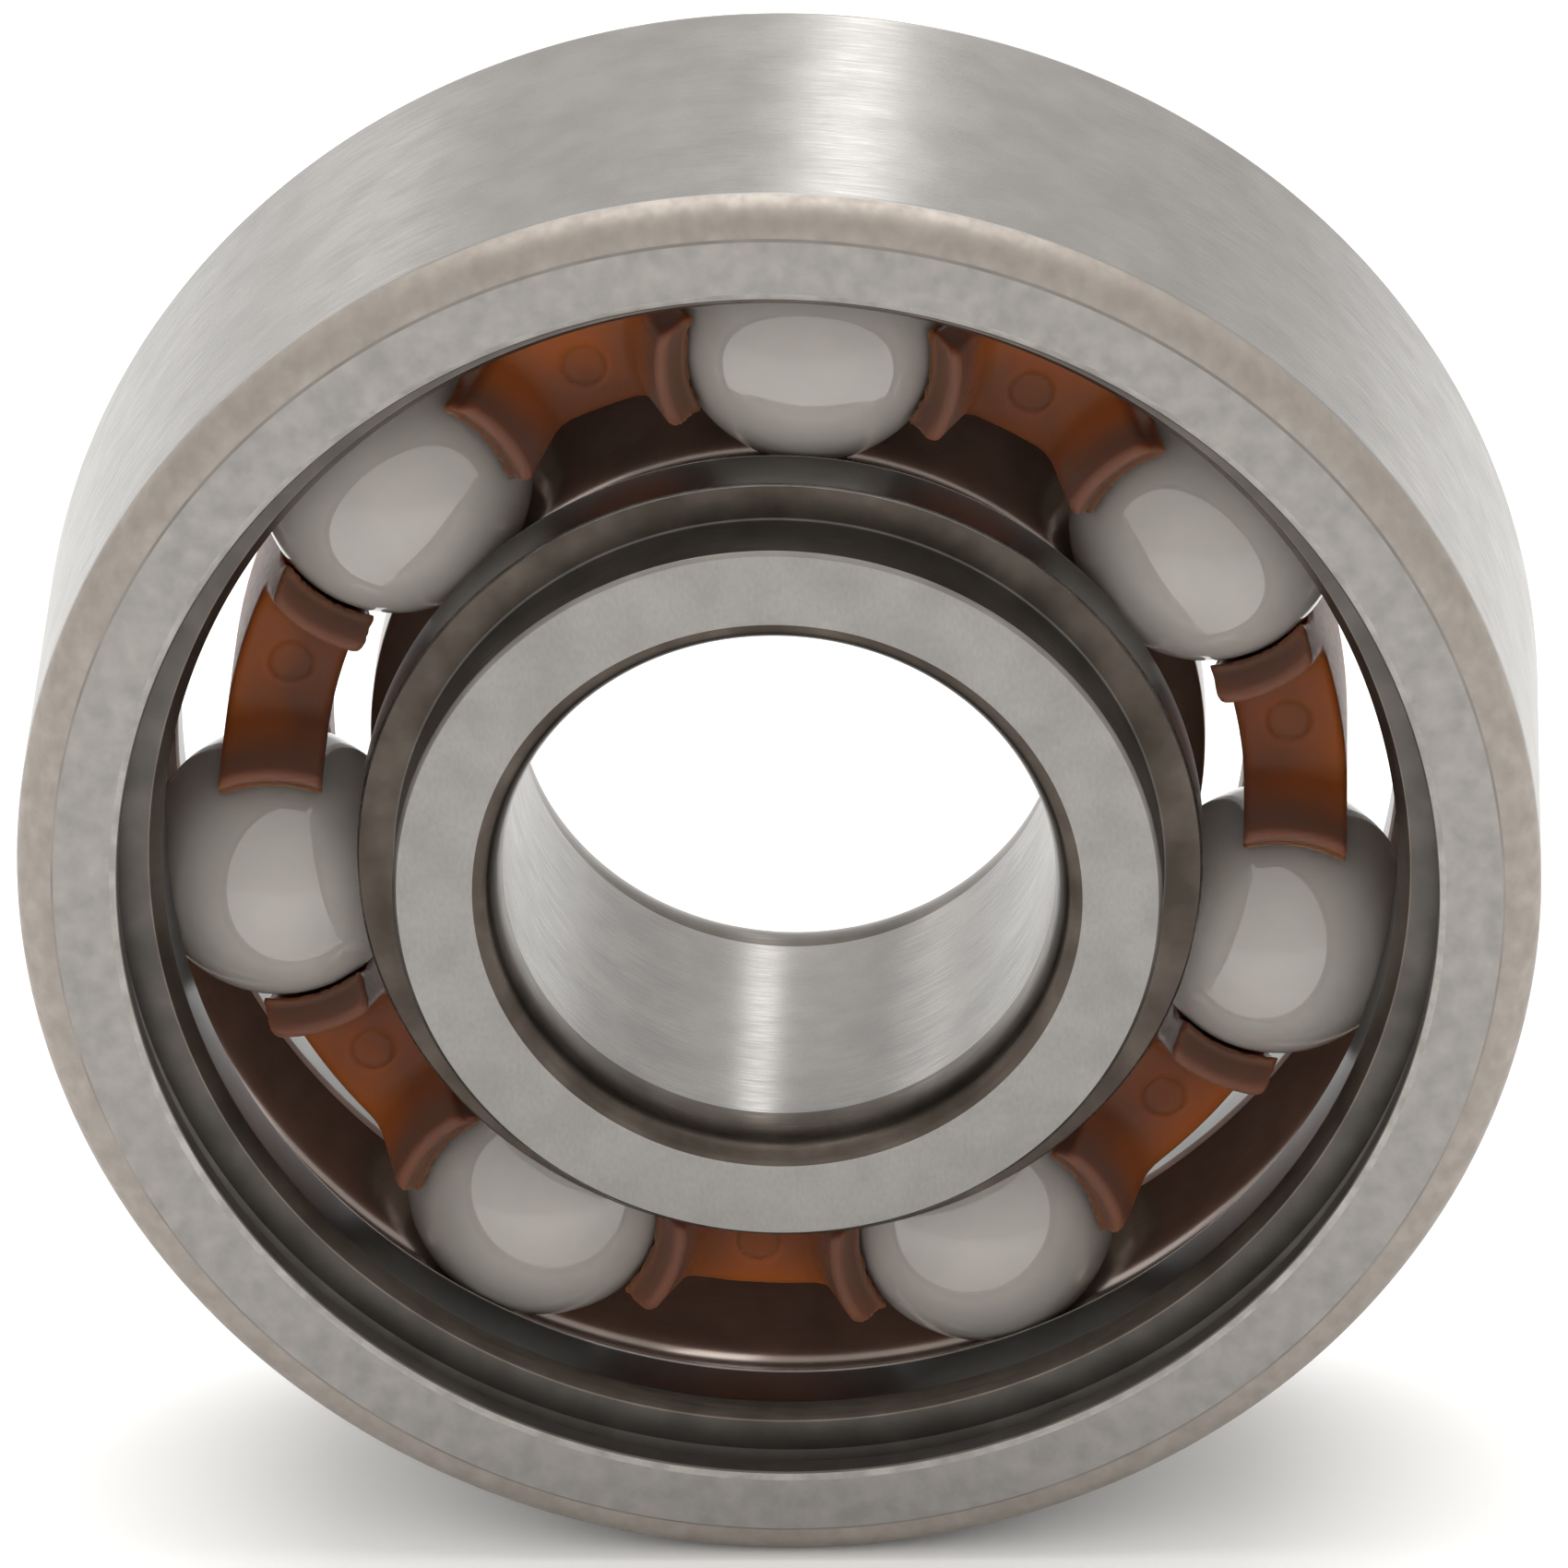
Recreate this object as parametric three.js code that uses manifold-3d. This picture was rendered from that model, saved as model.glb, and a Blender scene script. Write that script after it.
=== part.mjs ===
// Open deep-groove ball bearing of the 608 series (8 x 22 x 7 mm): two steel
// rings, seven ceramic balls and a one-piece polymer cage that snaps over them.
// Millimetres, +Z up. The bearing stands on its rim: it spins about the Y axis,
// the origin is at its middle, and the open mouths of the cage face -Y.
import * as THREE from 'three';
import { mergeVertices } from 'three/addons/utils/BufferGeometryUtils.js';
import Module from 'manifold-3d';

// Boundary dimensions
const BORE_RADIUS = 4;
const OUTER_RADIUS = 11;
const HALF_WIDTH = 3.5;

// Balls and raceways
const BALL_COUNT = 7;
const BALL_RADIUS = 3.969 / 2; // 5/32 inch balls
const PITCH_RADIUS = 7.5;
const FIRST_BALL_ANGLE = THREE.MathUtils.degToRad(4.1); // from +Z towards +X
const RACE_CURVE = 0.52 * 2 * BALL_RADIUS;
const RUNNING_GAP = 0.05;

// Outer ring
const OUTER_CORNER = { axial: 0.5, radial: 0.55 };
const OUTER_FACE_INNER_RADIUS = 9.55;
const OUTER_LIP = 0.1;
const SHIELD_GROOVE = { radius: 9.95, start: 0.4, end: 0.8 }; // start and end below the face
const OUTER_STEP = { radius: 9.11, depth: 0.85 };
const OUTER_SHOULDER = { radius: 8.94, depth: 1.15 };

// Inner ring
const BORE_CORNER = { axial: 0.8, radial: 0.36 };
const INNER_FACE_OUTER_RADIUS = 5.55;
const INNER_LIP = 0.08;
const INNER_SHOULDER = { radius: 6.12, depth: 1.05, chamfer: 0.08 };

// Cage
const CAGE_RADIUS = { inner: 6.7, outer: 8.2 };
const CAGE_BACK = 2.5;
const CAGE_FLOOR = -0.2; // bottom of the valley between two pockets
const HORN_TIP = -1.5;
const HORN_RADIUS = { tip: 2.2, root: 2.65 }; // round each pocket's own axis
const POCKET_RADIUS = 2.09;
const MOUTH_START = -1.1;
const MOUTH_TIP_RADIUS = 1.87;

// Facets
const RING_SEGMENTS = 48;
const RACE_STEPS = 5; // in half a raceway
const CORNER_STEPS = 3;
const BALL_SEGMENTS = { round: 16, high: 10 };
const POCKET_SEGMENTS = { round: 20, high: 14 };

const steel = { color: 0xaaa59f, roughness: 0.3, metalness: 1 };
const ceramic = { color: 0xd9d6d2, roughness: 0.12, metalness: 0 };
const amber = { color: 0x8a4a1c, roughness: 0.35, metalness: 0 };

const wasm = await Module();
wasm.setup();

function point(radius, along) {
  return new THREE.Vector2(radius, along);
}

function arc(centre, radii, startDeg, endDeg, steps) {
  const toRad = THREE.MathUtils.degToRad;
  const clockwise = endDeg < startDeg;
  const curve = new THREE.EllipseCurve(
    centre.x, centre.y, radii.x, radii.y, toRad(startDeg), toRad(endDeg), clockwise);
  return curve.getPoints(steps);
}

// Completes a half profile, whose ends lie at mid-width or on a straight wall,
// with its mirror image and closes it on its first point.
function mirrored(half) {
  const other = half.map((p) => point(p.x, -p.y)).reverse();
  const loop = [...half, ...other, half[0]];
  return loop.filter((p, i) => i === 0 || p.distanceTo(loop[i - 1]) > 1e-6);
}

function mesh(name, geometry, look) {
  const part = new THREE.Mesh(geometry, new THREE.MeshStandardMaterial(look));
  part.name = name;
  return part;
}

// Half a raceway, from its edge on a shoulder to its deepest point at mid-width.
// side is 1 for a groove that opens inwards and -1 for one that opens outwards.
function raceway(shoulderRadius, side) {
  const bottom = PITCH_RADIUS + side * (BALL_RADIUS + RUNNING_GAP);
  const centre = bottom - side * RACE_CURVE;
  const edge = THREE.MathUtils.radToDeg(Math.acos(side * (shoulderRadius - centre) / RACE_CURVE));
  const radii = point(RACE_CURVE, RACE_CURVE);
  const start = side > 0 ? edge : 180 - edge;
  const end = side > 0 ? 0 : 180;
  return arc(point(centre, 0), radii, start, end, RACE_STEPS);
}

function outerRing() {
  const corner = OUTER_CORNER;
  const cornerCentre = point(OUTER_RADIUS - corner.radial, HALF_WIDTH - corner.axial);
  const half = [
    ...arc(cornerCentre, point(corner.radial, corner.axial), 0, 90, CORNER_STEPS),
    point(OUTER_FACE_INNER_RADIUS + OUTER_LIP, HALF_WIDTH),
    point(OUTER_FACE_INNER_RADIUS, HALF_WIDTH - OUTER_LIP),
    point(OUTER_FACE_INNER_RADIUS, HALF_WIDTH - SHIELD_GROOVE.start),
    point(SHIELD_GROOVE.radius, HALF_WIDTH - SHIELD_GROOVE.start - OUTER_LIP),
    point(SHIELD_GROOVE.radius, HALF_WIDTH - SHIELD_GROOVE.end),
    point(OUTER_FACE_INNER_RADIUS, HALF_WIDTH - OUTER_STEP.depth),
    point(OUTER_STEP.radius, HALF_WIDTH - OUTER_STEP.depth),
    point(OUTER_SHOULDER.radius, HALF_WIDTH - OUTER_SHOULDER.depth),
    ...raceway(OUTER_SHOULDER.radius, 1),
  ];
  return mesh('outer_ring', new THREE.LatheGeometry(mirrored(half), RING_SEGMENTS), steel);
}

function innerRing() {
  const corner = BORE_CORNER;
  const stepStart = HALF_WIDTH - INNER_SHOULDER.depth;
  const cornerCentre = point(BORE_RADIUS + corner.radial, HALF_WIDTH - corner.axial);
  const half = [
    ...raceway(INNER_SHOULDER.radius, -1).reverse(),
    point(INNER_SHOULDER.radius, stepStart - INNER_SHOULDER.chamfer),
    point(INNER_SHOULDER.radius - INNER_SHOULDER.chamfer, stepStart),
    point(INNER_FACE_OUTER_RADIUS, stepStart),
    point(INNER_FACE_OUTER_RADIUS, HALF_WIDTH - INNER_LIP),
    point(INNER_FACE_OUTER_RADIUS - INNER_LIP, HALF_WIDTH),
    ...arc(cornerCentre, point(corner.radial, corner.axial), 90, 180, CORNER_STEPS),
  ];
  return mesh('inner_ring', new THREE.LatheGeometry(mirrored(half), RING_SEGMENTS), steel);
}

function ballAngle(index) {
  return FIRST_BALL_ANGLE + index * 2 * Math.PI / BALL_COUNT;
}

function ball(index) {
  const geometry = new THREE.SphereGeometry(BALL_RADIUS, BALL_SEGMENTS.round, BALL_SEGMENTS.high);
  const part = mesh(`ball_${index + 1}`, geometry, ceramic);
  const angle = ballAngle(index);
  part.position.set(PITCH_RADIUS * Math.sin(angle), 0, PITCH_RADIUS * Math.cos(angle));
  part.rotation.y = angle;
  return part;
}

function toSolid(geometry) {
  const bare = geometry.clone();
  bare.deleteAttribute('normal');
  bare.deleteAttribute('uv');
  const merged = mergeVertices(bare, 1e-5);
  return new wasm.Manifold(new wasm.Mesh({
    numProp: 3,
    vertProperties: new Float32Array(merged.attributes.position.array),
    triVerts: new Uint32Array(merged.index.array),
  }));
}

function fromSolid(solid) {
  const result = solid.getMesh();
  const geometry = new THREE.BufferGeometry();
  geometry.setAttribute('position', new THREE.BufferAttribute(result.vertProperties, 3));
  geometry.setIndex(new THREE.BufferAttribute(result.triVerts, 1));
  geometry.computeVertexNormals();
  return geometry;
}

function band(inner, outer, low, high) {
  const profile = [
    point(outer, low), point(outer, high), point(inner, high), point(inner, low), point(outer, low)];
  return toSolid(new THREE.LatheGeometry(profile, RING_SEGMENTS));
}

// Moves a shape made round the Y axis to the place of each ball in turn.
function atEachPocket(geometry) {
  const copies = [];
  for (let index = 0; index < BALL_COUNT; index += 1) {
    copies.push(toSolid(geometry.clone().translate(0, 0, PITCH_RADIUS).rotateY(ballAngle(index))));
  }
  return copies.reduce((all, one) => all.add(one));
}

// The shell round each pocket that stands up from the valley floor as two horns.
function hornCones() {
  const overlap = 1;
  const slope = (HORN_RADIUS.root - HORN_RADIUS.tip) / (CAGE_FLOOR - HORN_TIP);
  const cone = new THREE.LatheGeometry([
    point(0, HORN_TIP - overlap),
    point(HORN_RADIUS.tip - slope * overlap, HORN_TIP - overlap),
    point(HORN_RADIUS.root + slope * overlap, CAGE_FLOOR + overlap),
    point(0, CAGE_FLOOR + overlap),
  ], POCKET_SEGMENTS.round);
  return atEachPocket(cone);
}

function pockets() {
  const beyond = 0.5;
  const pocket = new THREE.SphereGeometry(
    POCKET_RADIUS, POCKET_SEGMENTS.round, POCKET_SEGMENTS.high);
  const throatRadius = Math.sqrt(POCKET_RADIUS ** 2 - MOUTH_START ** 2);
  const flare = (MOUTH_TIP_RADIUS - throatRadius) / (MOUTH_START - HORN_TIP);
  const mouth = new THREE.LatheGeometry([
    point(0, HORN_TIP - beyond),
    point(MOUTH_TIP_RADIUS + flare * beyond, HORN_TIP - beyond),
    point(throatRadius - flare * beyond, MOUTH_START + beyond),
    point(0, MOUTH_START + beyond),
  ], POCKET_SEGMENTS.round);
  return atEachPocket(pocket).add(atEachPocket(mouth));
}

// A crown cage: a closed band at the back and a pair of horns at each pocket.
function cage() {
  const beyond = 0.5;
  const blank = band(CAGE_RADIUS.inner, CAGE_RADIUS.outer, HORN_TIP, CAGE_BACK);
  const valleys = band(
    CAGE_RADIUS.inner - beyond, CAGE_RADIUS.outer + beyond, HORN_TIP - beyond, CAGE_FLOOR);
  const solid = blank.subtract(valleys.subtract(hornCones())).subtract(pockets());
  return mesh('cage', fromSolid(solid), amber);
}

const bearing = new THREE.Group();
bearing.add(outerRing(), innerRing(), cage());
for (let index = 0; index < BALL_COUNT; index += 1) {
  bearing.add(ball(index));
}

export default bearing;
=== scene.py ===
import math

import bmesh
import bpy
import numpy as np
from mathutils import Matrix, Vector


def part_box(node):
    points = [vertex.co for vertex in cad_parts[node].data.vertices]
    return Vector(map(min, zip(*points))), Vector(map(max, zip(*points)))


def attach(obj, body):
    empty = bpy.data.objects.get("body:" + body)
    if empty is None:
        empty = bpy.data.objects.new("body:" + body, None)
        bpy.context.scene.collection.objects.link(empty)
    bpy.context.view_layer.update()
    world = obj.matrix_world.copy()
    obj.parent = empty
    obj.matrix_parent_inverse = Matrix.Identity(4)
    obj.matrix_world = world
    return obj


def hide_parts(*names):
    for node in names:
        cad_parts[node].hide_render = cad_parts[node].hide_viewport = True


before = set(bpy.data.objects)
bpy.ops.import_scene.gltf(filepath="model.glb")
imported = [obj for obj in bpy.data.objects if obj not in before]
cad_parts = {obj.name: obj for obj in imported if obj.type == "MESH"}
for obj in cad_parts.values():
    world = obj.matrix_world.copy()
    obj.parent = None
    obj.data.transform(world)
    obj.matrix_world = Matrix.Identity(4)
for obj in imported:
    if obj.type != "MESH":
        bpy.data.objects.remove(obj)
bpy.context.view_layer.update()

import openvdb
from mathutils import Matrix, Vector

MM = 0.001


# ---------------------------------------------------------------- driving dimensions

def box_mm(node):
    """Lowest and highest corner of a CAD node, in millimetres."""
    low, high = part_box(node)
    return Vector(low) / MM, Vector(high) / MM


OUTER_LOW, OUTER_HIGH = box_mm("outer_ring")
CAGE_LOW, CAGE_HIGH = box_mm("cage")
OUTER_RADIUS = OUTER_HIGH.z
HALF_WIDTH = OUTER_HIGH.y
BORE_RADIUS = 4.0
BALL_NODES = sorted(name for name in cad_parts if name.startswith("ball_"))
BALL_COUNT = len(BALL_NODES)
BALL_RADIUS = (box_mm("ball_1")[1].y - box_mm("ball_1")[0].y) / 2
FIRST_BALL = sum(box_mm("ball_1"), Vector()) / 2
PITCH_RADIUS = FIRST_BALL.length
FIRST_BALL_ANGLE = math.atan2(FIRST_BALL.x, FIRST_BALL.z)  # from +Z towards +X
RACE_CURVE = 0.52 * 2 * BALL_RADIUS
RUNNING_GAP = 0.01

# Outer ring. Depths are from the ring's face.
OUTER_CORNER = 0.56
OUTER_CORNER_DROP = 0.03        # the ground face stands this proud of the turned corner
OUTER_CORNER_LEDGE = 0.04
OUTER_CORNER_ARC = (12, 84)     # degrees
CYLINDER_END = 0.9              # the ground cylinder ends at this share of the corner's depth
OUTER_FACE_INNER_RADIUS = 9.51
OUTER_LIP_WIDTH = 0.12
OUTER_LIP_DEPTH = 0.04
SHIELD_GROOVE_RADIUS = 9.95
SHIELD_GROOVE_DEPTHS = (0.38, 0.48, 0.72)       # its mouth, and both ends of its floor
SHIELD_GROOVE_FOOT = 0.08       # its inner end lies this far outside the lip
OUTER_STEP_RADIUS = 9.11
OUTER_STEP_DEPTH = 0.85
OUTER_SHOULDER_RADIUS = 8.94
OUTER_SHOULDER_DEPTH = 1.15
OUTER_RIM_WIDTH = 0.08

# Inner ring
INNER_FACE_OUTER_RADIUS = 5.55
INNER_FACE_EDGE = (0.06, 0.07)  # broken edges: across the radius, and along the axis
INNER_SHOULDER_RADIUS = 6.12
INNER_SHOULDER_EDGE = (0.04, 0.05)
INNER_STEP_DEPTH = 1.05
INNER_RIM_EDGE = (0.01, 0.02)
INNER_RIM_WIDTH = 0.06
BORE_CORNER_AXIAL = 0.8
BORE_CORNER_RADIAL = 0.36
BORE_CORNER_ARC = (84, 176)     # degrees
BORE_FACE_RADIUS = 4.44
BORE_LEAD = 0.1

# Both raceways start this far below their shoulders
RACE_SETBACK = 0.04

# Cage
CAGE_INNER_RADIUS = 6.7
CAGE_OUTER_RADIUS = CAGE_HIGH.z
CAGE_BACK = CAGE_HIGH.y
HORN_TIP = CAGE_LOW.y
CAGE_FLOOR = -0.2
POCKET_RADIUS = BALL_RADIUS + 0.06
HORN_CREST = (2.05, 2.18)       # inner and outer edge of a horn's end, round the ball's axis
HORN_ROOT_RADIUS = 2.6
MOUTH_START = -1.12             # along the axis
MOUTH_FLARE = 0.52              # how much the mouth widens per mm towards the horns' ends
PIN_MARK_RADIUS = 0.32
PIN_MARK_DEPTH = 0.06

# Widths over which the cage's surfaces blend into each other
VALLEY_BLEND = 0.25
BACK_BLEND = 0.16
TUBE_BLEND = 0.13
HORN_BLEND = 0.05
POCKET_BLEND = 0.05
PIN_MARK_BLEND = 0.03

# Mesh fineness
RING_STEPS = 360
CAGE_VOXEL = 0.075
BALL_SUBDIVISIONS = 5
SAME_POINT = 1e-6               # points of an outline that are closer than this are one


def link(name, data):
    """An object with this mesh, light or camera, in the scene."""
    holder = bpy.data.objects.new(name, data)
    bpy.context.scene.collection.objects.link(holder)
    return holder


# ---------------------------------------------------------------- ring outlines

def arc(centre, radii, start, end, steps=8):
    """Points of an elliptical arc, angles in degrees."""
    angles = np.radians(np.linspace(start, end, steps + 1))
    return [(centre[0] + radii[0] * math.cos(a), centre[1] + radii[1] * math.sin(a))
            for a in angles]


def raceway(shoulder_radius, side, steps=28):
    """Half a raceway, from its edge on a shoulder to mid-width.
    side is 1 for a groove that opens inwards and -1 for one that opens outwards."""
    centre = PITCH_RADIUS + side * (BALL_RADIUS + RUNNING_GAP - RACE_CURVE)
    edge = math.degrees(math.acos(side * (shoulder_radius - centre) / RACE_CURVE))
    start, end = (edge, 0) if side > 0 else (180 - edge, 180)
    return arc((centre, 0), (RACE_CURVE, RACE_CURVE), start, end, steps)


def fillet(corner, before, after, radius, steps=4):
    """Points that round one corner of an outline."""
    c, b, a = (Vector(p) for p in (corner, before, after))
    to_b, to_a = (b - c).normalized(), (a - c).normalized()
    half = to_b.angle(to_a) / 2
    middle = c + (to_b + to_a).normalized() * radius / math.sin(half)
    start = c + to_b * radius / math.tan(half) - middle
    end = c + to_a * radius / math.tan(half) - middle
    turn = start.angle_signed(end)
    points = []
    for i in range(steps + 1):
        angle = -turn * i / steps
        spun = Matrix.Rotation(angle, 2) @ start
        points.append(tuple(middle + spun))
    return points


def half_outline(stretches):
    """Joins stretches of (material name, points, fillet radius) and rounds each
    stretch's own corners. Returns points, and the material of the piece after each."""
    flat = [(p, radius, name) for name, points, radius in stretches for p in points]
    points, names = [], []
    for i, (p, radius, name) in enumerate(flat):
        inside = 0 < i < len(flat) - 1
        new = fillet(p, flat[i - 1][0], flat[i + 1][0], radius) if radius and inside else [p]
        points += new
        names += [name] * len(new)
    return points, names


def lathe(name, stretches, materials):
    """A ring from half its outline: mirrored across mid-width and spun round Y."""
    half, names = half_outline(stretches)
    mirror = [(r, -y) for r, y in reversed(half)]
    outline = half + mirror
    faces_of = names + list(reversed(names))[1:] + [names[0]]
    keep = [i for i, p in enumerate(outline) if math.dist(p, outline[i - 1]) > SAME_POINT]
    outline = np.array([outline[i] for i in keep])
    faces_of = [faces_of[i] for i in keep]
    count = len(outline)
    turns = np.linspace(0, 2 * math.pi, RING_STEPS, endpoint=False)
    r, y = outline[:, 0], outline[:, 1]
    verts = np.stack([np.outer(np.sin(turns), r), np.tile(y, (RING_STEPS, 1)),
                      np.outer(np.cos(turns), r)], axis=-1).reshape(-1, 3) * MM
    column, row = np.meshgrid(np.arange(RING_STEPS), np.arange(count), indexing="ij")
    this, next_ = column * count, (column + 1) % RING_STEPS * count
    up = (row + 1) % count
    faces = np.stack([this + row, next_ + row, next_ + up, this + up], axis=-1).reshape(-1, 4)
    mesh = bpy.data.meshes.new(name)
    mesh.from_pydata(verts.tolist(), [], faces.tolist())
    slots = list(materials)
    for material in materials.values():
        mesh.materials.append(material)
    indices = np.tile([slots.index(n) for n in faces_of], RING_STEPS)
    mesh.polygons.foreach_set("material_index", indices.astype(np.int32))
    return finish_mesh(name, mesh)


def finish_mesh(name, mesh):
    """Links a mesh as a smooth object whose flats stay flat between their fillets."""
    mesh.validate()
    mesh.shade_smooth()
    piece = link(name, mesh)
    normals = piece.modifiers.new("flat_faces", "WEIGHTED_NORMAL")
    normals.weight = 50
    return piece


def outer_ring_outline():
    """Half the outline: the material, points and fillet radius of each stretch."""
    w, r, lip = HALF_WIDTH, OUTER_RADIUS, OUTER_FACE_INNER_RADIUS
    mouth, near, far = SHIELD_GROOVE_DEPTHS
    edge = raceway(OUTER_SHOULDER_RADIUS, 1)[0][1]
    turned_corner = arc((r - OUTER_CORNER, w - OUTER_CORNER),
                        (OUTER_CORNER, OUTER_CORNER - OUTER_CORNER_DROP), *OUTER_CORNER_ARC, 12)
    recess = [
        (lip, w - OUTER_LIP_DEPTH),
        (lip, w - mouth),
        (SHIELD_GROOVE_RADIUS, w - near),
        (SHIELD_GROOVE_RADIUS, w - far),
        (lip + SHIELD_GROOVE_FOOT, w - OUTER_STEP_DEPTH),
    ]
    return [
        ("cylinder", [(r, w - OUTER_CORNER * CYLINDER_END)], 0.02),
        ("corner", turned_corner, 0),
        ("edge", [(r - OUTER_CORNER + OUTER_CORNER_LEDGE, w - OUTER_CORNER_DROP)], 0),
        ("outer_face", [(r - OUTER_CORNER, w)], 0.01),
        ("lip", [(lip + OUTER_LIP_WIDTH, w)], 0.01),
        ("turned", recess, 0.04),
        ("step", [(OUTER_STEP_RADIUS, w - OUTER_STEP_DEPTH)], 0.03),
        ("land", [(OUTER_SHOULDER_RADIUS, w - OUTER_SHOULDER_DEPTH)], 0.05),
        ("rim", [(OUTER_SHOULDER_RADIUS, edge + OUTER_RIM_WIDTH)], 0.01),
        ("raceway", raceway(OUTER_SHOULDER_RADIUS + RACE_SETBACK, 1), 0),
    ]


def inner_ring_outline():
    """Half the outline: the material, points and fillet radius of each stretch."""
    w, shoulder, side = HALF_WIDTH, INNER_SHOULDER_RADIUS, INNER_FACE_OUTER_RADIUS
    step = w - INNER_STEP_DEPTH
    edge = raceway(shoulder, -1)[0][1]
    bore_corner = arc((BORE_RADIUS + BORE_CORNER_RADIAL, w - BORE_CORNER_AXIAL),
                      (BORE_CORNER_RADIAL, BORE_CORNER_AXIAL), *BORE_CORNER_ARC)
    return [
        ("raceway", raceway(shoulder - RACE_SETBACK, -1)[::-1], 0),
        ("rim", [(shoulder - INNER_RIM_EDGE[0], edge + INNER_RIM_EDGE[1])], 0),
        ("shoulder", [(shoulder, edge + INNER_RIM_WIDTH)], 0.01),
        ("lip", [(shoulder, step - INNER_SHOULDER_EDGE[1])], 0.02),
        ("dark_turned", [(shoulder - INNER_SHOULDER_EDGE[0], step)], 0.02),
        ("turned", [(side, step)], 0.04),
        ("edge", [(side, w - INNER_FACE_EDGE[1])], 0.01),
        ("face", [(side - INNER_FACE_EDGE[0], w), (BORE_FACE_RADIUS, w)], 0.01),
        ("dark_turned", bore_corner, 0),
        ("bore", [(BORE_RADIUS, w - BORE_CORNER_AXIAL - BORE_LEAD)], 0.01),
    ]


# ---------------------------------------------------------------- cage shape

def smooth_max(a, b, width):
    """The larger of two distances, blended over the given width."""
    overlap = np.maximum(width - np.abs(a - b), 0) / width
    return np.maximum(a, b) + overlap * overlap * width / 4


def smooth_min(a, b, width):
    return -smooth_max(-a, -b, width)


def folded(angle):
    """An angle brought to the nearest of the cage's equal steps."""
    step = 2 * math.pi / BALL_COUNT
    return angle - step * np.round(angle / step)


def cage_distance(x, y, z):
    """Distance to the cage's surface in millimetres, negative inside."""
    radius = np.hypot(x, z)
    turn = np.arctan2(x, z) - FIRST_BALL_ANGLE
    at_ball = folded(turn)
    out = radius * np.cos(at_ball) - PITCH_RADIUS
    across = radius * np.sin(at_ball)
    axis_distance = np.hypot(out, across)
    ball_distance = np.sqrt(out ** 2 + across ** 2 + y ** 2)

    # the closed back part, and the horns that stand up from it round each ball
    slope = (HORN_ROOT_RADIUS - HORN_CREST[1]) / (CAGE_FLOOR - HORN_TIP)
    flank = (axis_distance - HORN_CREST[1] - slope * (y - HORN_TIP)) / math.hypot(1, slope)
    body = smooth_min(CAGE_FLOOR - y, flank, VALLEY_BLEND)
    body = smooth_max(body, HORN_TIP - y, HORN_BLEND)

    # the tube that it is cut from
    middle = (CAGE_INNER_RADIUS + CAGE_OUTER_RADIUS) / 2
    tube = np.abs(radius - middle) - (CAGE_OUTER_RADIUS - CAGE_INNER_RADIUS) / 2
    body = smooth_max(body, tube, TUBE_BLEND)
    body = smooth_max(body, y - CAGE_BACK, BACK_BLEND)

    # ball pockets with a flared mouth, and the round ejector marks in the valleys
    throat = HORN_CREST[0] - MOUTH_FLARE * (y - HORN_TIP)
    mouth = np.maximum((axis_distance - throat) / math.hypot(1, MOUTH_FLARE), y - MOUTH_START)
    pocket = np.minimum(ball_distance - POCKET_RADIUS, mouth)
    body = smooth_max(body, -pocket, POCKET_BLEND)
    at_gap = folded(turn + math.pi / BALL_COUNT)
    mark = np.hypot(radius * np.cos(at_gap) - middle, radius * np.sin(at_gap)) - PIN_MARK_RADIUS
    mark = np.maximum(mark, y - CAGE_FLOOR - PIN_MARK_DEPTH)
    return smooth_max(body, -mark, PIN_MARK_BLEND)


def settle(points, distance, rounds=4, step=1e-3, least_slope=0.5):
    """Moves points onto the zero surface of a distance function. A flatter slope
    counts as the least one, so that no point jumps."""
    for _ in range(rounds):
        value = distance(*points.T)
        slopes = []
        for axis in range(3):
            shifted = points.copy()
            shifted[:, axis] += step
            slopes.append((distance(*shifted.T) - value) / step)
        slope = np.stack(slopes, axis=1)
        size = np.maximum((slope ** 2).sum(axis=1, keepdims=True), least_slope ** 2)
        points = points - value[:, None] * slope / size
    return points


def make_cage(material):
    margin = 4 * CAGE_VOXEL
    low = np.array(CAGE_LOW) - margin
    counts = np.ceil((np.array(CAGE_HIGH) + margin - low) / CAGE_VOXEL).astype(int)
    axes = [low[i] + CAGE_VOXEL * np.arange(counts[i]) for i in range(3)]
    field = cage_distance(*np.meshgrid(*axes, indexing="ij")).astype(np.float32)
    grid = openvdb.FloatGrid(background=1.0)
    grid.copyFromArray(field)
    points, quads = grid.convertToQuads()
    points = settle(points.astype(float) * CAGE_VOXEL + low, cage_distance)
    mesh = bpy.data.meshes.new("cage_moulded")
    mesh.from_pydata((points * MM).tolist(), [], quads[:, ::-1].tolist())
    mesh.materials.append(material)
    mesh.validate()
    mesh.shade_smooth()
    return link("cage_moulded", mesh)


# ---------------------------------------------------------------- balls

def make_ball(node, material):
    low, high = box_mm(node)
    shape = bmesh.new()
    bmesh.ops.create_icosphere(shape, subdivisions=BALL_SUBDIVISIONS, radius=BALL_RADIUS * MM)
    bmesh.ops.translate(shape, verts=shape.verts, vec=(low + high) / 2 * MM)
    name = "ceramic_" + node
    mesh = bpy.data.meshes.new(name)
    shape.to_mesh(mesh)
    shape.free()
    mesh.materials.append(material)
    mesh.shade_smooth()
    return link(name, mesh)


# ---------------------------------------------------------------- materials

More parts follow.
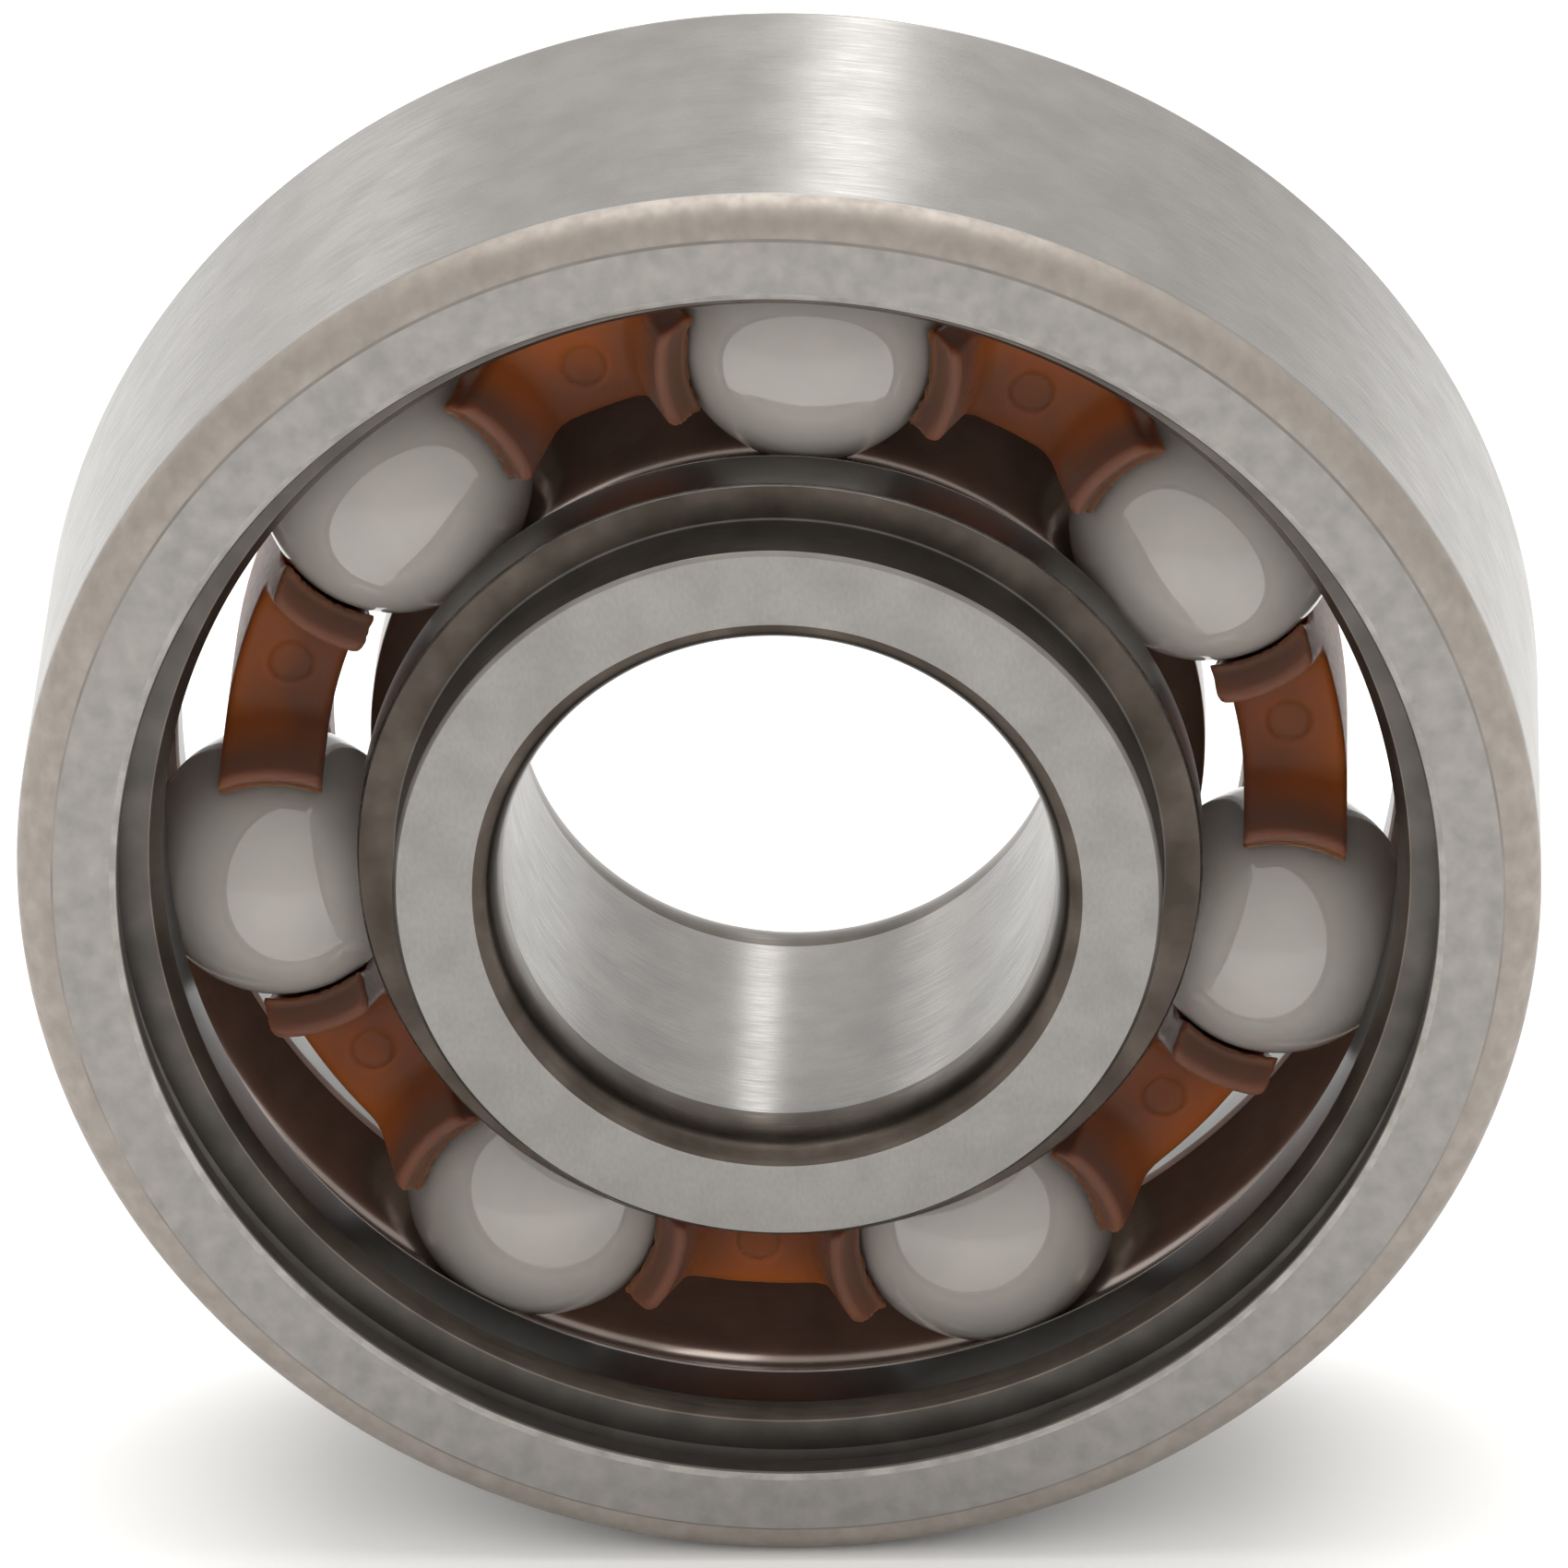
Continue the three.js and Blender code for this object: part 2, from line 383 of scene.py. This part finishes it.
class Nodes:
    """A material with a Principled shader, and short calls that add nodes to it."""

    def __init__(self, name):
        self.material = bpy.data.materials.new(name)
        self.material.use_nodes = True
        self.tree = self.material.node_tree
        self.shader = self.tree.nodes["Principled BSDF"]
        self.coordinates = self.tree.nodes.new("ShaderNodeTexCoord").outputs["Object"]

    def add(self, kind, **inputs):
        node = self.tree.nodes.new(kind)
        for key, value in inputs.items():
            socket = node.inputs[key.replace("_", " ")]
            if isinstance(value, bpy.types.NodeSocket):
                self.tree.links.new(value, socket)
            else:
                socket.default_value = value
        return node

    def set(self, **values):
        for key, value in values.items():
            socket = self.shader.inputs[key.replace("_", " ")]
            if isinstance(value, bpy.types.NodeSocket):
                self.tree.links.new(value, socket)
            else:
                socket.default_value = value

    def scaled(self, factors):
        """The piece's coordinates in metres, each times its factor."""
        node = self.add("ShaderNodeVectorMath")
        node.operation = "MULTIPLY"
        self.tree.links.new(self.coordinates, node.inputs[0])
        node.inputs[1].default_value = factors
        return node.outputs[0]

    def noise(self, per_mm, detail=3.0):
        """Noise from 0 to 1, with its own scale in cycles per mm along X, Y and Z."""
        place = self.scaled([cycles / MM for cycles in per_mm])
        noise = self.add("ShaderNodeTexNoise", Vector=place, Scale=1.0, Detail=detail)
        return noise.outputs["Fac"]

    def radius(self):
        """Distance from the spin axis, in metres."""
        flat = self.scaled((1, 0, 1))
        length = self.add("ShaderNodeVectorMath")
        length.operation = "LENGTH"
        self.tree.links.new(flat, length.inputs[0])
        return length.outputs["Value"]

    def along(self):
        """Distance along the spin axis, in metres."""
        parts = self.add("ShaderNodeSeparateXYZ", Vector=self.coordinates)
        return parts.outputs["Y"]

    def spread(self, value, low, high, start=0.3, end=0.7):
        """Maps a value from start to end onto low to high, and keeps it between those."""
        node = self.add("ShaderNodeMapRange", Value=value, From_Min=start, From_Max=end,
                        To_Min=low, To_Max=high)
        return node.outputs["Result"]

    def plus(self, first, second):
        """Two values added up, which is what a Math node does unless it is told otherwise."""
        node = self.add("ShaderNodeMath")
        self.tree.links.new(first, node.inputs[0])
        self.tree.links.new(second, node.inputs[1])
        return node.outputs[0]

    def blend(self, factor, first, second):
        """A colour between two, by factor. A Mix node's colours are its inputs 6 and 7
        and its output 2."""
        node = self.add("ShaderNodeMix")
        node.data_type = "RGBA"
        self.tree.links.new(factor, node.inputs[0])
        for socket, colour in ((node.inputs[6], first), (node.inputs[7], second)):
            if isinstance(colour, bpy.types.NodeSocket):
                self.tree.links.new(colour, socket)
            else:
                socket.default_value = (*colour, 1)
        return node.outputs[2]

    def bump(self, height, depth):
        """Relief of the given depth in metres."""
        node = self.add("ShaderNodeBump", Height=height, Strength=1.0, Distance=depth)
        return node.outputs["Normal"]


ROUND_LAY = (1.6, 26, 1.6)      # fine lines that run round the ring
FACE_LAY = (18, 18, 9)          # short fine scratches, longest along Z
CLOUDY_LAY = (5, 5, 4)          # patches without a direction
LAY_SHADE = 0.8                 # tone of the lay's lines, as a share of the dark tone
LAY_STRENGTH = 0.25             # how far that tone takes over

# Cage colours, in millimetres
GLOW_RADII = (7.3, 8.7)       # painted glow of light through the plastic: the tone turns orange between these radii,
GLOW_SHIFT = (-0.25, 0.45)    # which wander by this much
HORN_SHADE_DEPTHS = (0.3, 0.95)     # painted shade: the horns' ends are darker, fading out between these distances from a horn's end


def steel(name, light, dark, rough, lay, relief, brushed=0.0, mottle=1.1, metal=1.0):
    """Machined steel: cloudy tone, fine lay and a roughness that follows it. The relief
    is in metres, and mottle is the clouds' number per mm. An oily surface is less than
    fully metal. The rim is less than fully metal too, so that its light tone gives a painted
    highlight."""
    n = Nodes(name)
    cloud = n.noise((mottle, mottle, mottle), 6.0)
    lines = n.noise(lay, 4.0)
    tone = n.blend(n.spread(cloud, 0, 1, 0.35, 0.65), dark, light)
    line_tone = tuple(LAY_SHADE * channel for channel in dark)
    lined = n.blend(n.spread(lines, 0, LAY_STRENGTH), tone, line_tone)
    n.set(Base_Color=lined, Metallic=metal, Anisotropic=brushed)
    n.set(Roughness=n.spread(lines, rough[0], rough[1]), Normal=n.bump(lines, relief))
    if brushed:
        tangent = n.add("ShaderNodeTangent")
        tangent.direction_type = "RADIAL"
        tangent.axis = "Y"
        n.set(Tangent=tangent.outputs["Tangent"], Anisotropic_Rotation=0.25)
    return n.material


def make_steels():
    return {
        "cylinder": steel("steel_ground_cylinder", (0.30, 0.29, 0.28), (0.255, 0.245, 0.235),
                          (0.24, 0.34), ROUND_LAY, 1.5e-7, brushed=0.5),
        "bore": steel("steel_ground_bore", (0.27, 0.26, 0.25), (0.22, 0.212, 0.205),
                      (0.24, 0.34), ROUND_LAY, 1.5e-7, brushed=0.5),
        "corner": steel("steel_turned_corner", (0.34, 0.306, 0.276), (0.298, 0.266, 0.238),
                        (0.46, 0.58), CLOUDY_LAY, 3e-7, mottle=2.4),
        "dark_turned": steel("steel_dark_turned", (0.10, 0.083, 0.07),
                             (0.055, 0.045, 0.037), (0.26, 0.36), ROUND_LAY, 2e-7),
        "edge": steel("steel_broken_edge", (0.265, 0.245, 0.225), (0.2, 0.185, 0.172),
                      (0.3, 0.4), ROUND_LAY, 1e-7),
        "face": steel("steel_ground_face", (0.295, 0.284, 0.27), (0.252, 0.242, 0.228),
                      (0.36, 0.46), FACE_LAY, 2e-7),
        "outer_face": steel("steel_ground_outer_face", (0.314, 0.294, 0.276),
                            (0.258, 0.25, 0.241), (0.36, 0.46), CLOUDY_LAY, 2e-7,
                            mottle=2.8),
        "lip": steel("steel_ground_lip", (0.36, 0.34, 0.32), (0.26, 0.245, 0.23),
                     (0.2, 0.3), ROUND_LAY, 1e-7, mottle=3),
        # painted highlight: a light, part-diffuse tone paints the bright line along each raceway's
        # rim
        "rim": steel("steel_rim_painted_highlight", (0.8, 0.75, 0.7), (0.6, 0.56, 0.52),
                     (0.5, 0.6), ROUND_LAY, 3e-8, metal=0.6),
        "turned": steel("steel_turned_groove", (0.12, 0.108, 0.098), (0.08, 0.072, 0.064),
                        (0.34, 0.46), ROUND_LAY, 2e-7, metal=0.7),
        "step": steel("steel_turned_step", (0.19, 0.16, 0.135), (0.125, 0.104, 0.088),
                      (0.34, 0.46), ROUND_LAY, 2e-7),
        "shoulder": steel("steel_ground_shoulder", (0.30, 0.293, 0.285), (0.24, 0.234, 0.228),
                          (0.30, 0.34), ROUND_LAY, 5e-9),
        "land": steel("steel_ground_land", (0.18, 0.185, 0.185), (0.145, 0.148, 0.148),
                      (0.30, 0.34), ROUND_LAY, 5e-9),
        "raceway": steel("steel_honed_raceway", (0.265, 0.192, 0.152), (0.205, 0.149, 0.118),
                         (0.12, 0.15), ROUND_LAY, 5e-9, metal=0.5),
    }


def make_ceramic():
    n = Nodes("white_ceramic")
    cloud = n.noise((0.9, 0.9, 0.9), 4.0)
    speck = n.noise((30, 30, 30), 2.0)
    n.set(Base_Color=n.blend(n.spread(cloud, 0, 1), (0.405, 0.378, 0.352), (0.37, 0.347, 0.327)))
    n.set(IOR=1.72, Subsurface_Weight=1.0, Subsurface_Scale=0.0012)
    n.set(Subsurface_Radius=(1.0, 0.8, 0.65))
    n.set(Roughness=n.spread(cloud, 0.03, 0.06), Normal=n.bump(speck, 3e-8))
    return n.material


def make_polymer():
    """Amber plastic: olive and brown in the mass, orange near the outside of the cage
    where light comes through (a painted glow), and painted shade on the horns' ends."""
    n = Nodes("amber_polymer")
    cloud = n.noise((0.8, 0.8, 0.8), 5.0)
    grain = n.noise((9, 9, 9), 4.0)
    tone = n.blend(n.spread(cloud, 0, 1), (0.225, 0.072, 0.031), (0.18, 0.069, 0.037))
    low, high = (shift * MM for shift in GLOW_SHIFT)
    patches = n.spread(n.noise((0.5, 0.5, 0.5), 2.0), low, high, 0.35, 0.65)
    inner, outer = (radius * MM for radius in GLOW_RADII)
    # painted glow: the orange tone towards the cage's outside stands in for light coming through
    # the amber
    orange = n.spread(n.plus(n.radius(), patches), 0, 1, inner, outer)
    tone = n.blend(orange, tone, (0.42, 0.115, 0.022))
    near, far = ((HORN_TIP + depth) * MM for depth in HORN_SHADE_DEPTHS)
    # painted shade: a dull dark tone on the horns' ends, next to the balls
    horn_painted_shade = n.spread(n.along(), 0.9, 0, near, far)
    tone = n.blend(horn_painted_shade, tone, (0.128, 0.068, 0.05))
    n.set(Base_Color=tone, IOR=1.5, Specular_IOR_Level=0.12)
    n.set(Subsurface_Weight=1.0, Subsurface_Scale=0.0007, Subsurface_Radius=(1.0, 0.35, 0.1))
    n.set(Roughness=n.spread(grain, 0.32, 0.44), Normal=n.bump(grain, 3e-7))
    return n.material


# ---------------------------------------------------------------- build the pieces

def stand_for(piece, node):
    """The piece takes a CAD node's place and body; the node is hidden."""
    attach(piece, node)
    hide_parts(node)


steels = make_steels()
stand_for(lathe("outer_ring_fine", outer_ring_outline(), steels), "outer_ring")
stand_for(lathe("inner_ring_fine", inner_ring_outline(), steels), "inner_ring")
stand_for(make_cage(make_polymer()), "cage")
ceramic = make_ceramic()
for ball_node in BALL_NODES:
    stand_for(make_ball(ball_node, ceramic), ball_node)


# ---------------------------------------------------------------- floor, light, camera

def make_floor():
    size = 0.7
    mesh = bpy.data.meshes.new("floor")
    z = OUTER_LOW.z * MM
    mesh.from_pydata([(-size, -size, z), (size, -size, z), (size, size, z), (-size, size, z)],
                     [], [(0, 1, 2, 3)])
    n = Nodes("pale_floor")
    n.set(Base_Color=(0.93, 0.93, 0.93, 1), Roughness=0.9)
    mesh.materials.append(n.material)
    link("floor", mesh)


def area_light(name, place, size, power, target=(0, 0, 0)):
    """A soft rectangular light that faces the target. Metres and watts."""
    lamp = bpy.data.lights.new(name, "AREA")
    lamp.shape = "RECTANGLE"
    lamp.size, lamp.size_y = size
    lamp.energy = power
    holder = link(name, lamp)
    holder.location = place
    aim = Vector(target) - Vector(place)
    holder.rotation_euler = aim.to_track_quat("-Z", "Y").to_euler()


def make_lights():
    world = bpy.data.worlds.new("studio")
    world.use_nodes = True
    background = world.node_tree.nodes["Background"]
    background.inputs["Color"].default_value = (1.0, 0.985, 0.96, 1)
    background.inputs["Strength"].default_value = 1.1
    bpy.context.scene.world = world
    area_light("top_softbox", place=(0.0, 0.1, 0.35), size=(0.4, 0.35), power=1.0)
    area_light("back_strip", place=(0.028, 0.4, 0.2), size=(0.045, 0.25), power=0.095)
    area_light("left_panel", place=(-0.34, 0.44, 0.14), size=(0.3, 0.15), power=0.12)


# The camera that fits the photo's outline: metres, degrees, and millimetres of lens
CAMERA_DISTANCE = 0.246
CAMERA_AZIMUTH = 2.36           # from -Y towards +X
CAMERA_ELEVATION = 27.2
CAMERA_ROLL = -1.35
CAMERA_LENS = 387.4
CAMERA_SENSOR = 36
CAMERA_SHIFT = (-0.0003, 0.0018)


def make_camera():
    camera = bpy.data.cameras.new("camera")
    camera.sensor_width = CAMERA_SENSOR
    camera.lens = CAMERA_LENS
    camera.shift_x, camera.shift_y = CAMERA_SHIFT
    camera.clip_start, camera.clip_end = 0.01, 10
    azimuth, elevation = math.radians(CAMERA_AZIMUTH), math.radians(CAMERA_ELEVATION)
    back = Vector((math.sin(azimuth) * math.cos(elevation),
                   -math.cos(azimuth) * math.cos(elevation), math.sin(elevation)))
    aim = (-back).to_track_quat("-Z", "Y").to_matrix()
    roll = Matrix.Rotation(math.radians(CAMERA_ROLL), 3, "Z")
    holder = link("camera", camera)
    holder.location = back * CAMERA_DISTANCE
    holder.rotation_euler = (aim @ roll).to_euler()
    bpy.context.scene.camera = holder


make_floor()
make_lights()
make_camera()
bpy.context.scene.view_settings.view_transform = "Standard"
